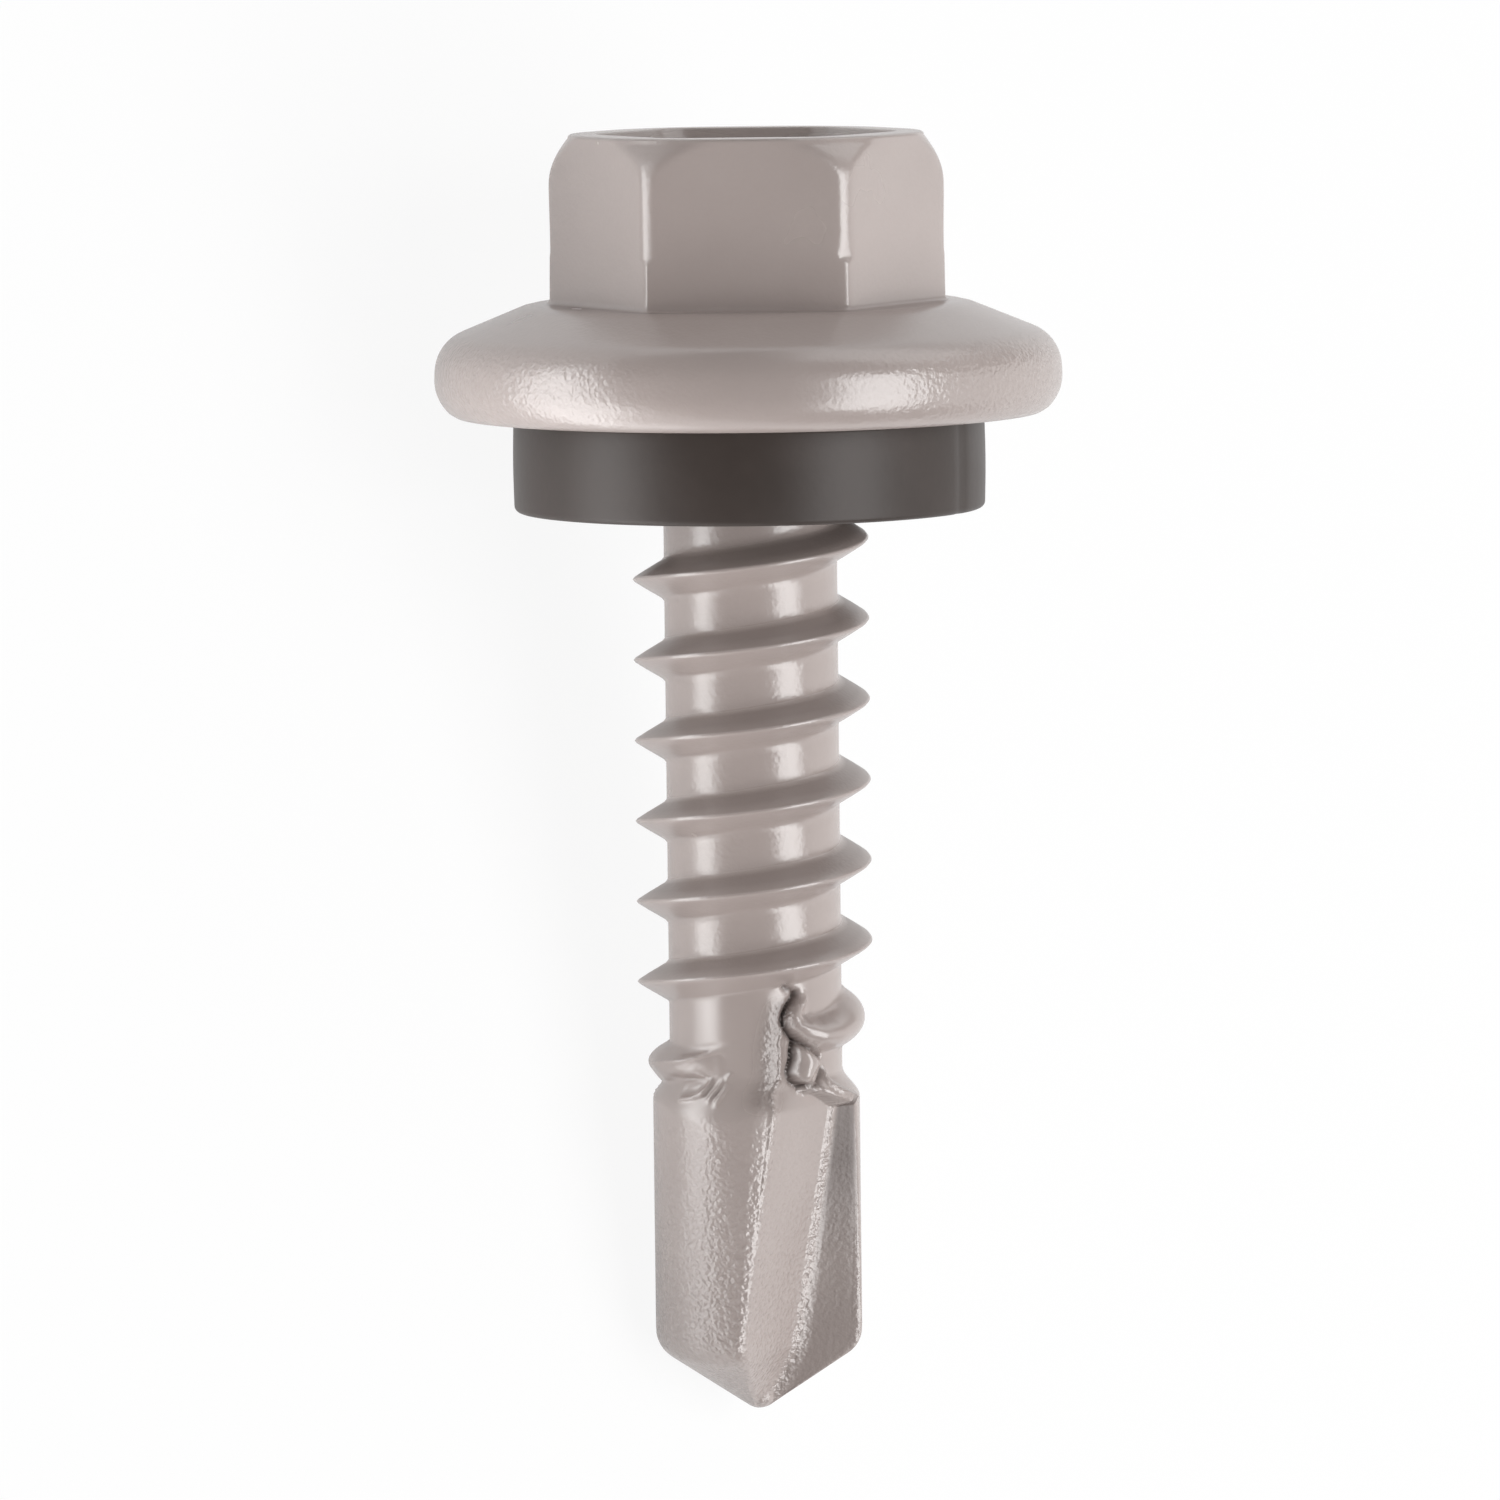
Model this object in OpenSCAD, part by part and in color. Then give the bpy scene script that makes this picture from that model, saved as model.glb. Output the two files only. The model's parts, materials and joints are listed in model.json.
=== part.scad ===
// Self-drilling screw with a hex washer head and a rubber sealing washer.
// Everything is built in the screw's own frame: its axis is Z, the underside of the flange is Z = 0,
// the head is above it and the drill point below. Angles round the axis are measured from -Y towards +X.
// A screw cannot stand by itself, so at the end the whole part is laid on its side, as it comes to rest.

/* [Hex head] */
// Width of the hex across its flats
hex_af = 8; // [7:0.1:9]
// Height of the hex above the flange
hex_h = 3.9; // [3:0.1:5]
// Radius of the rounding that runs over the hex's top corners
crown_r = 1.95; // [1.6:0.05:2.4]
// How far below the top that rounding meets the hex's corner
crown_drop = 1.4; // [1:0.05:1.5]
// Width of the narrow land that flattens each of the hex's corners
land_w = 0.29; // [0.2:0.01:0.4]
// Height above the flange at which a land ends in a step
land_h = 1.05; // [0.7:0.05:1.6]
// Diameter of the recess in the top, at its mouth
recess_d = 6; // [4.5:0.1:6.4]
// Diameter of the recess at its floor
recess_floor_d = 4.8; // [3:0.1:5.2]
// Depth of the recess in the top
recess_h = 0.5; // [0.3:0.05:1]

/* [Flange] */
// Diameter of the flange
flange_d = 14.5; // [13:0.1:17]
// Height of the flange, from its underside to the foot of the hex
flange_h = 2.57; // [2.4:0.05:3]
// Width of the flat collar between the hex's corners and the flange's slope
collar_w = 0.48; // [0.2:0.02:0.6]
// Radius of the rim's rounding above its widest place
rim_r = 1; // [0.8:0.05:1.1]
// Height of the centre of that rounding above the underside
rim_h = 1.02; // [0.98:0.02:1.2]
// Radius of the rim's rounding below its widest place
edge_r = 1.1; // [1:0.05:1.4]
// Height of the centre of the lower rounding above the underside
edge_h = 0.9; // [0.6:0.05:0.95]

/* [Shank and thread] */
// Outer diameter of the thread
thread_d = 5.5; // [5.2:0.05:5.8]
// Diameter of the shank between the turns
core_d = 4; // [3.7:0.05:4.2]
// Distance between turns
pitch = 1.87; // [1.6:0.01:2.2]
// Angle between the two flanks of a turn
flank_angle = 60; // [50:1:64]
// Width of the narrow land on the thread's crest
crest_w = 0.06; // [0.04:0.01:0.12]
// Length of the thread that fades into the shank under the head, in turns
thread_lead_in = 0.5; // [0.25:0.05:1]
// Length of the thread that fades out towards the drill point, in turns
thread_run_out = 1.25; // [0.75:0.05:1.5]
// Distance from the flange down to the first turn
thread_top = 0.9; // [0.6:0.05:1.5]
// Direction in which the last turn ends, round the axis
thread_end_angle = 200; // [0:5:355]
// Radius of the fillet between the shank and the flange
neck_r = 0.35; // [0.2:0.05:0.6]

/* [Drill point] */
// Length of the screw from the flange's underside to the tip
screw_l = 23.2; // [21:0.1:32]
// Diameter of the drill
drill_d = 4.8; // [4.5:0.05:5.1]
// Length of the drill, from the end of its shoulder to the tip
drill_l = 7.2; // [6.2:0.1:8.5]
// Length of the shoulder where the shank widens to the drill
shoulder_l = 0.8; // [0.5:0.05:1.2]
// Angle of the conical point
point_angle = 116; // [100:1:130]

/* [Flutes] */
// Direction of the bottom of a flute, round the axis
flute_angle = 65.5; // [55:0.5:75]
// Direction that a flute's V opens towards, round the axis
flute_facing = 32.5; // [25:0.5:40]
// Distance of the bottom of a flute from the axis, at the corner of the point
flute_web = 0.78; // [0.6:0.02:1]
// Slope of the bottom of a flute against the axis, along the drill
flute_slope = 11; // [9:0.5:13]
// Slope of the bottom of a flute against the axis, at the point, where the web is thinned
thinning_slope = 20; // [14:0.5:22]
// Slope at which a flute runs out above the drill's shoulder
exit_slope = 22; // [18:0.5:30]
// Angle between a flute's walls at the corner of the point
flute_v_end = 121; // [110:1:130]
// Angle between a flute's walls at the shoulder
flute_v_start = 146; // [138:1:152]

/* [Sealing washer] */
// Outer diameter of the rubber washer
washer_d = 10.9; // [9:0.1:12.4]
// Thickness of the rubber washer
washer_h = 2.2; // [1.5:0.1:3]
// Clearance between the washer's bore and the thread, all round
bore_gap = 0.05; // [0.03:0.01:0.2]
// Radius of the washer's rounded outer edges
washer_edge_r = 0.15; // [0.1:0.05:0.4]

/* [Hidden] */
// How much joined solids reach into each other, and cutters reach past what they cut
join = 0.12;
past = 1;
// Points on each rounded stretch of a profile
arc_steps = 10;
// Steps of the thread in one turn, and of a flute along its length
turn_steps = 40;
flute_steps = 24;
// How fast the thread's height falls off where it fades: 1 is a straight ramp
fade = 0.4;
// Length of a flute's walls, enough to reach past the thread
wall_reach = 9;

hex_r = hex_af / 2 / cos(30);
top_z = flange_h + hex_h;
flange_r = flange_d / 2;
collar_r = hex_r + collar_w;
core_r = core_d / 2;
thread_r = thread_d / 2;
drill_r = drill_d / 2;
point_h = drill_r / tan(point_angle / 2);
corner_z = point_h - screw_l;
shoulder_z = drill_l - screw_l;

// A point at a radius and a direction round the axis
function polar(r, angle) = [r * sin(angle), -r * cos(angle)];

// An arc in a profile, from one angle to another
function arc(centre, r, from, to) =
    [for (i = [0:arc_steps]) centre + r * [cos(from + (to - from) * i / arc_steps),
                                           sin(from + (to - from) * i / arc_steps)]];

// A solid through a list of like rings, each turning anticlockwise as seen from the far end
module loft(rings) {
    n = len(rings[0]);
    last = len(rings) - 1;
    sides = [for (k = [0:last - 1], i = [0:n - 1])
        let (a = k * n + i, b = k * n + (i + 1) % n)
        each [[a, a + n, b + n], [a, b + n, b]]];
    ends = [[for (i = [0:n - 1]) i], [for (i = [n - 1:-1:0]) last * n + i]];
    polyhedron(points = [for (ring = rings) each ring], faces = concat(sides, ends), convexity = 10);
}

// The revolved form that rounds the hex's top corners
module crown() {
    centre = [hex_r - crown_r, top_z - crown_drop];
    rotate_extrude($fn = 96)
        polygon(concat([[0, flange_h - join], [hex_r + past, flange_h - join], [hex_r + past, centre[1]]],
                       arc(centre, crown_r, 0, asin(crown_drop / crown_r)),
                       [[0, top_z]]));
}

// What the hex's corners are kept inside: nothing is cut below the step, and the lands lie above it
module corner_limit() {
    land_depth = land_w / 2 / tan(60);
    step_z = flange_h + land_h;
    union() {
        translate([0, 0, flange_h - join]) cylinder(r = hex_r + past, h = land_h + join, $fn = 6);
        rotate([0, 0, 30]) translate([0, 0, step_z - join])
            cylinder(r = (hex_r - land_depth) / cos(30), h = top_z + past - step_z, $fn = 6);
    }
}

module hex_head() {
    difference() {
        intersection() {
            translate([0, 0, flange_h - join]) cylinder(r = hex_r, h = hex_h + join, $fn = 6);
            crown();
            corner_limit();
        }
        recess_slope = (recess_d - recess_floor_d) / recess_h;
        translate([0, 0, top_z - recess_h])
            cylinder(d1 = recess_floor_d, d2 = recess_d + recess_slope * join, h = recess_h + join, $fn = 96);
    }
}

// The flange: flat underneath, a full round rim, and a slope that runs from the rim up to the collar
module flange() {
    rim = [flange_r - rim_r, rim_h];
    edge = [flange_r - edge_r, edge_h];
    collar = [collar_r, flange_h];
    to_rim = rim - collar;
    slope = atan2(to_rim[1], to_rim[0]) + asin(rim_r / norm(to_rim));
    rotate_extrude($fn = 128)
        polygon(concat([[0, 0]],
                       arc(edge, edge_r, -asin(edge_h / edge_r), 0),
                       arc(rim, rim_r, 0, slope + 90),
                       [collar, [0, flange_h]]));
}

// Shank, fillet under the flange, shoulder, drill and point, all turned about one axis
module shank() {
    rotate_extrude($fn = 96)
        polygon(concat([[0, join], [core_r + neck_r, join]],
                       arc([core_r + neck_r, -neck_r], neck_r, 90, 180),
                       [[core_r, shoulder_z + shoulder_l], [drill_r, shoulder_z], [drill_r, corner_z],
                        [0, -screw_l]]));
}

// Height of the thread at a place along it, as a share of its full height
function thread_share(turn, turns) =
    let (lead = min(1, (turns - turn) / thread_lead_in), out = min(1, turn / thread_run_out))
    pow(max(0, min(lead, out)), fade);

// The thread: a ridge with straight flanks, wound right-handed from the drill's shoulder up to the head
module thread() {
    start_z = shoulder_z + shoulder_l / 2;
    turns = (-thread_top - start_z) / pitch;
    steps = ceil(turns * turn_steps);
    flank = tan(flank_angle / 2);
    foot_r = core_r - join;
    loft([for (i = [0:steps])
        let (turn = turns * i / steps,
             share = thread_share(turn, turns),
             tip_r = core_r - join / 2 + (thread_r - core_r + join / 2) * share,
             tip_w = crest_w / 2,
             foot_w = tip_w + (tip_r - foot_r) * flank,
             z = start_z + pitch * turn,
             along = polar(1, 360 * turn - thread_end_angle))
        [for (p = [[foot_r, -foot_w], [foot_r, foot_w], [tip_r, tip_w], [tip_r, -tip_w]])
            [p[0] * along[0], p[0] * along[1], z + p[1]]]]);
}

// Where the bottom of a flute is at a height, and the half angle that its walls lean off its facing
function flute_bottom(z) =
    polar(flute_web + (z - corner_z) * tan(z > corner_z ? flute_slope : thinning_slope), flute_angle)
    + polar(max(0, z - shoulder_z) * tan(exit_slope), flute_facing);
function flute_lean(z) =
    let (along = (z - corner_z) / (shoulder_z - corner_z))
    90 - (flute_v_end + (flute_v_start - flute_v_end) * along) / 2;
// Directions in which the two walls leave the bottom of a flute
function wall_angles(z) = [flute_facing + flute_lean(z) - 90, flute_facing - flute_lean(z) + 90];

// One flute: a V that opens and flattens towards the shoulder, then runs out through the last turns
module flute() {
    from = -screw_l - past / 2;
    to = shoulder_z + (thread_r - core_r + past) / tan(exit_slope);
    loft([for (i = [0:flute_steps])
        let (z = from + (to - from) * i / flute_steps,
             b = flute_bottom(z),
             w1 = b + polar(wall_reach, wall_angles(z)[0]),
             w2 = b + polar(wall_reach, wall_angles(z)[1]))
        [[b[0], b[1], z], [w1[0], w1[1], z], [w2[0], w2[1], z]]]);
}

module whole_screw() {
    difference() {
        union() {
            hex_head();
            flange();
            shank();
            thread();
        }
        for (side = [0, 180]) rotate([0, 0, side]) flute();
    }
}

module whole_washer() {
    washer_r = washer_d / 2;
    bore_r = thread_r + bore_gap;
    e = washer_edge_r;
    rotate_extrude($fn = 128)
        polygon(concat([[bore_r, -washer_h]],
                       arc([washer_r - e, e - washer_h], e, -90, 0),
                       arc([washer_r - e, -e], e, 0, 90),
                       [[bore_r, 0]]));
}

// At rest the screw lies on the rim of its flange and on the two edges of one flute, at the point's corner.
// Where a wall that leaves the bottom of the flute meets the drill's surface
function on_drill(b, angle) =
    let (d = polar(1, angle), h = b * d)
    b + d * (sqrt(h * h + drill_r * drill_r - b * b) - h);
corner_bottom = flute_bottom(corner_z);
edge_1 = on_drill(corner_bottom, wall_angles(corner_z)[0]);
edge_2 = on_drill(corner_bottom, wall_angles(corner_z)[1]);
chord = edge_2 - edge_1;
// The side that faces up, and how far below the axis the flute's two edges are
up_angle = atan2(chord[1], chord[0]);
low = norm(edge_1 + edge_2) / 2;
// The tilt at which the rim and the flute's edges touch the floor together, and the axis's height then
rest_tilt = let (run = edge_h - corner_z, drop = flange_r - edge_r - low)
    atan2(drop, run) + asin(edge_r / norm([run, drop]));
rest_h = low * cos(rest_tilt) - corner_z * sin(rest_tilt);
// The middle of its length then, which the origin lies under, from the rim of its top and from its tip
rest_middle = let (top_r = hex_r - crown_r + sqrt(crown_r * crown_r - crown_drop * crown_drop))
    ((top_z - screw_l) * cos(rest_tilt) + top_r * sin(rest_tilt)) / 2;

module at_rest() {
    translate([0, -rest_middle, rest_h]) rotate([rest_tilt - 90, 0, 0]) rotate([0, 0, -up_angle]) children();
}

module screw() {
    color([0.63, 0.59, 0.57]) at_rest() whole_screw();
}

module sealing_washer() {
    color([0.27, 0.25, 0.24]) at_rest() whole_washer();
}

screw();
sealing_washer();
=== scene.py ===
# %% [markdown]
# # A self-drilling screw with a rubber sealing washer
# The object is a roofing screw, painted grey: a hex on a wide sloping flange, a coarse thread, and a drill
# point that was forged between two dies. A black rubber ring sits under the flange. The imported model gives
# the frame, so every piece below is made where the screw lies, and nothing is fitted afterwards.

# %% The frame
import json
import math

import bmesh
import bpy
import numpy as np
from mathutils import Matrix, Vector, noise


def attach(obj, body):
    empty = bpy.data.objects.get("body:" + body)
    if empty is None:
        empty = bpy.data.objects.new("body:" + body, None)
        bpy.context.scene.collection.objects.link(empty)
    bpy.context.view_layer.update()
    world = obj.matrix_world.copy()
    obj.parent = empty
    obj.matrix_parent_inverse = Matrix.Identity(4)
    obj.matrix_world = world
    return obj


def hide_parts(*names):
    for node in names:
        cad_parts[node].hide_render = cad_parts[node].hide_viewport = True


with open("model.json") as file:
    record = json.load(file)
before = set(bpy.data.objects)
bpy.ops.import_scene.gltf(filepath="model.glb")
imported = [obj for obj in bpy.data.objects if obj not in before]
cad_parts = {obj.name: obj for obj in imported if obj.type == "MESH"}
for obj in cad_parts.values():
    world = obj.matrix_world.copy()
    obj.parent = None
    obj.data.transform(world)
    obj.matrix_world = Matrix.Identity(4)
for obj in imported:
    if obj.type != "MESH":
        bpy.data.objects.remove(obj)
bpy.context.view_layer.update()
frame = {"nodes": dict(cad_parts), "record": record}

print("nodes:", sorted(frame["nodes"]))

# %% [markdown]
# The sizes are those of the solid model, in millimetres, in the screw's own frame: its axis is Z, the
# underside of the flange is Z = 0, the head is above it and the point below. Directions round the axis are
# degrees from -Y towards +X. A screw is easiest to shape standing up, and is laid down at the very end.

# %% Sizes
HEX_FLAT = 4.0          # from the axis to a flat of the hex
HEX_H = 3.9             # height of the hex above the flange
CROWN_R = 1.95          # rounding over the hex's top corners
CROWN_DROP = 1.4        # how far below the top that rounding starts
RECESS_R = 3.12         # from the axis to a side of the recess in the top
RECESS_CORNER_R = 3.45  # and to its rounded corners
RECESS_TAPER = 0.3      # how much smaller the recess is at its floor
RECESS_H = 0.5
FLANGE_R = 7.25
FLANGE_H = 2.57
COLLAR_W = 0.48         # flat ring between the hex's corners and the slope
RIM_R, RIM_H = 1.0, 1.02     # the rim's upper rounding and its centre's height
EDGE_R, EDGE_H = 1.1, 0.9    # the rim's lower rounding and its centre's height
CORE_R = 2.0
PITCH = 1.87
SCREW_L = 23.2
DRILL_R = 2.4
DRILL_L = 7.2
POINT_ANGLE = 116
FLUTE_ANGLE = 65.5      # direction of the bottom of a flute
FLUTE_FACING = 32.5     # direction that a flute's V opens towards
FLUTE_WEB = 0.78        # from the axis to the bottom of a flute, at the corner of the point
FLUTE_SLOPE = 11        # slope of that bottom along the drill
THINNING_SLOPE = 27     # and at the point, where the web is thinned
FLUTE_V_END = 121       # angle between a flute's walls at the corner of the point
FLUTE_V_START = 146     # and at the shoulder
WASHER_R, WASHER_H = 5.45, 2.2
BORE_R = 2.8

HEX_R = HEX_FLAT / math.cos(math.radians(30))
TOP_Z = FLANGE_H + HEX_H
SHOULDER_Z = DRILL_L - SCREW_L
CORNER_Z = DRILL_R / math.tan(math.radians(POINT_ANGLE / 2)) - SCREW_L
MM = 0.001
print("head top, shoulder, corner of the point:", round(TOP_Z, 2), round(SHOULDER_Z, 2), round(CORNER_Z, 2))

# %% [markdown]
# Most of the screw is round, so a point on it is a radius, a direction and a height, held as NumPy arrays.
# Where two surfaces meet, a soft minimum or maximum of their radii gives the small rounding that forging
# and paint leave on every real edge, which a hard minimum would not.

# %% Helpers for round shapes
def cos_deg(a):
    return np.cos(np.radians(a))

def sin_deg(a):
    return np.sin(np.radians(a))

def round_points(r, az, z):
    """Points from radii, directions and heights."""
    r, az, z = np.broadcast_arrays(r, az, z)
    return np.stack([r * sin_deg(az), -r * cos_deg(az), z], -1)

def soft_min(a, b, k):
    return 0.5 * (a + b - np.sqrt((a - b) ** 2 + k * k))

def soft_max(a, b, k):
    return 0.5 * (a + b + np.sqrt((a - b) ** 2 + k * k))

def ease(x, start, end):
    """0 up to start, 1 from end on, and smooth between them. The end may be the lower number."""
    t = np.clip((x - start) / (end - start), 0, 1)
    return t * t * (3 - 2 * t)

def hump(x, width):
    """1 where x is 0, and fading to 0 on both sides of it over about that width."""
    return np.exp(-((x / width) ** 2))

def arc_rows(centre, r, start, end, steps):
    """Profile points along an arc, without its first point."""
    return [(centre[0] + r * cos_deg(a), centre[1] + r * sin_deg(a))
            for a in np.linspace(start, end, steps + 1)[1:]]

def line_rows(start, end, shares):
    """Profile points at these shares of the way from start to end."""
    start, end = np.array(start), np.array(end)
    return [tuple(start + (end - start) * t) for t in shares]

# %% [markdown]
# A flute is a V-shaped groove. At each height its two walls are straight lines, each given by the direction
# it faces and its distance from the axis. Above the shoulder only the left wall runs on, as a shallow flat
# pressed into the shank, and the right wall ends in a step, because the forging dies stop there.

# %% Flutes
NECK_Z = [SHOULDER_Z, -15.5, -14.4, -13.3, -12.9]   # heights above the shoulder, upwards
NECK_FACING = [49.5, 43.0, 41.0, 39.0, 38.0]        # the left wall's direction there
NECK_DEPTH = [1.815, 1.765, 1.80, 1.93, 2.9]        # its distance from the axis there
STEP_AZ = [30, 45, 65, 80]      # directions, and below them the heights where the right wall ends there
STEP_Z = [-15.45, -15.55, -15.90, -15.92]
EDGE_GAPS = (12, 6)             # least angles from a flute's bottom to its first and its last edge
NEVER = 9.0                     # a radius that no part of the screw has

def flute_walls(z):
    """Direction and distance from the axis of the left and the right wall, at heights."""
    z = np.asarray(z, float)
    along = (z - CORNER_Z) / (SHOULDER_Z - CORNER_Z)
    lean = 90 - (FLUTE_V_END + (FLUTE_V_START - FLUTE_V_END) * along) / 2
    slope = np.radians(np.where(z > CORNER_Z, FLUTE_SLOPE, THINNING_SLOPE))
    web = FLUTE_WEB + (z - CORNER_Z) * np.tan(slope)
    left, right = FLUTE_FACING + lean, FLUTE_FACING - lean
    left_d, right_d = web * cos_deg(FLUTE_ANGLE - left), web * cos_deg(FLUTE_ANGLE - right)
    neck = z > SHOULDER_Z
    left = np.where(neck, np.interp(z, NECK_Z, NECK_FACING), left)
    left_d = np.where(neck, np.interp(z, NECK_Z, NECK_DEPTH), left_d)
    return left, left_d, right, right_d

def wall_radius(az, facing, distance):
    """Radius at which a ray in a direction meets a wall, or NEVER where the two hardly meet."""
    towards, least = cos_deg(az - facing), 0.05
    return np.where(towards > least, distance / np.maximum(towards, least), NEVER)

def land_edges(z, r):
    """Directions of a flute's two edges, and of its bottom, on a surface of radius r."""
    z, r = np.broadcast_arrays(np.asarray(z, float), np.asarray(r, float))
    left, left_d, right, right_d = flute_walls(z)
    first = left - np.degrees(np.arccos(np.clip(left_d / r, 0.02, 1)))
    last = right + np.degrees(np.arccos(np.clip(right_d / r, 0.02, 1)))
    first = np.minimum(first, FLUTE_ANGLE - EDGE_GAPS[0])
    last = np.maximum(last, FLUTE_ANGLE + EDGE_GAPS[1])
    return first, FLUTE_ANGLE + 0 * z, last

edge_1, _, edge_2 = land_edges(CORNER_Z, DRILL_R)
SIDE_UP = float(edge_1 + edge_2) / 2
print("the side that faces up:", round(SIDE_UP, 2), "degrees from the front")

# %% [markdown]
# The screw lies on the rim of its flange and on both edges of one flute, so the opposite flute faces up. Its
# mounts give the line of its axis, and the facing of the flutes gives its turn about that axis. Together
# they make the matrix that lays a standing piece down, in metres.

# %% Laying the screw down
mounts = {m["name"]: m for m in frame["record"]["mounts"]}
to_head = Vector(mounts["hex_drive"]["axis"]).normalized()
seat = Vector(mounts["drill_point"]["pos_m"]) + to_head * SCREW_L * MM
up = (Vector((0, 0, 1)) - to_head * to_head.z).normalized()
side = to_head.cross(up)

def facing_vector(az):
    """World direction of a direction round the screw's axis."""
    turn = math.radians(az - SIDE_UP)
    return up * math.cos(turn) + side * math.sin(turn)

LAY_DOWN = Matrix.Translation(seat) @ Matrix(
    [[facing_vector(90)[i] * MM, -facing_vector(0)[i] * MM, to_head[i] * MM, 0] for i in range(3)]
    + [[0, 0, 0, 1]])
print("seat of the flange:", [round(c / MM, 2) for c in seat], "mm")

# %% [markdown]
# Geometry Nodes and shaders do sums with the same Math nodes. This small class wraps a socket, so that an
# expression such as `core + height * share` adds the nodes for it. Any other node comes from `Tree.node`,
# which takes a type, its settings and the values or links of its sockets.

# %% Node expressions
class Socket:
    """An output socket that takes part in sums."""
    def __init__(self, tree, out):
        self.tree, self.out = tree, out

    def math(self, operation, *others):
        return self.tree.node("ShaderNodeMath", {"operation": operation}, dict(enumerate([self, *others])))

    def __add__(self, other): return self.math("ADD", other)
    def __radd__(self, other): return self.math("ADD", other)
    def __mul__(self, other): return self.math("MULTIPLY", other)
    def __sub__(self, other): return self.math("SUBTRACT", other)
    def __truediv__(self, other): return self.math("DIVIDE", other)
    def clamp(self): return self.math("MINIMUM", 1.0).math("MAXIMUM", 0.0)

    def __rsub__(self, other):
        return self.tree.node("ShaderNodeMath", {"operation": "SUBTRACT"}, {0: other, 1: self})

class Tree:
    """A node tree, and one way to add any node to it."""
    def __init__(self, tree):
        self.tree = tree

    def node(self, kind, settings=None, sockets=None, out=0):
        made = self.tree.nodes.new(kind)
        for name, value in (settings or {}).items():
            setattr(made, name, value)
        for key, value in (sockets or {}).items():
            if isinstance(value, Socket):
                self.tree.links.new(value.out, made.inputs[key])
            else:
                made.inputs[key].default_value = value
        return Socket(self, made.outputs[out]) if made.outputs else None

# %% [markdown]
# The paint is a satin grey powder coat. It isn't smooth: seen close it has an orange-peel skin, and round the
# drill point, where the coating ran thin over the forging, it stands in fine beads. The screw carries two
# numbers at each point: `grit`, how beaded the paint is, and a second one for painted shade, which darkens
# the cracks of the folds, a flute's right wall, the rough strip along the flat's edge, the flank that faces
# the head and the recess in the top. The material turns grit into bump and into paler beads, a painted
# highlight, and the second number into painted shade. Noise varies colour and gloss.

# %% Paint
PAINT = (0.375, 0.317, 0.297, 1)
# paler paint, for random tone and for the painted highlight on the beads
PAINT_PALE_AND_HIGHLIGHT = (0.46, 0.398, 0.375, 1)
# the dark brown of the painted shade
PAINTED_SHADE_COLOUR = (0.08, 0.052, 0.043, 1)
PEEL_SIZE, BEAD_SIZE, CLOUD_SIZE = 0.42, 0.105, 2.6    # of the blobs in the paint, in millimetres
PEEL_DEPTH, BEAD_DEPTH = 0.03, 0.042                   # of the bumps where the paint is all grit
SMOOTH_DEPTH = 0.001                                   # and where it has none

def new_material(name):
    material = bpy.data.materials.new(name)
    material.use_nodes = True
    material.node_tree.nodes.clear()
    return material, Tree(material.node_tree)

def noise_field(tree, place, size_mm, detail):
    """Noise from 0 to 1 whose blobs are about that many millimetres across."""
    return tree.node("ShaderNodeTexNoise", {}, {"Vector": place, "Scale": 1 / (size_mm * MM),
                                                "Detail": detail, "Roughness": 0.5})

def bump_of(tree, height_mm):
    return tree.node("ShaderNodeBump", {}, {"Strength": 1.0, "Distance": MM, "Height": height_mm},
                     out="Normal")

def attribute(tree, name):
    return tree.node("ShaderNodeAttribute", {"attribute_name": name}, out="Fac")

def mixed(tree, share, first, second):
    return tree.node("ShaderNodeMix", {"data_type": "RGBA"}, {0: share, 6: first, 7: second}, out=2)

def make_paint():
    material, t = new_material("grey_paint")
    place = t.node("ShaderNodeTexCoord", out="Object")
    grit, painted_shade = attribute(t, "grit"), attribute(t, "painted_shade")
    peel = noise_field(t, place, PEEL_SIZE, 2.0)
    beads = noise_field(t, place, BEAD_SIZE, 1.0)
    cloud = noise_field(t, place, CLOUD_SIZE, 3.0)
    height = peel * (grit * PEEL_DEPTH + SMOOTH_DEPTH) + beads * (grit * BEAD_DEPTH + SMOOTH_DEPTH)
    # Noise makes the paint paler at random, and gritty beads paler still: a painted highlight where they
    # catch light.
    tone_and_highlight = (cloud * 0.5 - 0.04 + (beads - 0.38) * grit * 1.1).clamp()
    # Painted shade darkens the paint towards dark brown.
    colour = mixed(t, painted_shade.clamp(), mixed(t, tone_and_highlight, PAINT, PAINT_PALE_AND_HIGHLIGHT), PAINTED_SHADE_COLOUR)
    rough = 0.22 + cloud * 0.08 + painted_shade * 0.3
    shader = t.node("ShaderNodeBsdfPrincipled", {}, {
        "Base Color": colour, "Roughness": rough, "Normal": bump_of(t, height),
        "IOR": 1.55, "Specular IOR Level": 0.95})
    t.node("ShaderNodeOutputMaterial", {}, {"Surface": shader})
    return material

paint = make_paint()
print("paint nodes:", len(paint.node_tree.nodes))

# %% [markdown]
# The washer is moulded EPDM rubber: almost black, a little brown, smooth where the mould was polished, and
# dusty in patches.

# %% Rubber
RUBBER = (0.040, 0.031, 0.027, 1)
RUBBER_DUSTY = (0.062, 0.048, 0.043, 1)
RUBBER_DEPTH = 0.004        # of its skin's bumps, in millimetres

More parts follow.
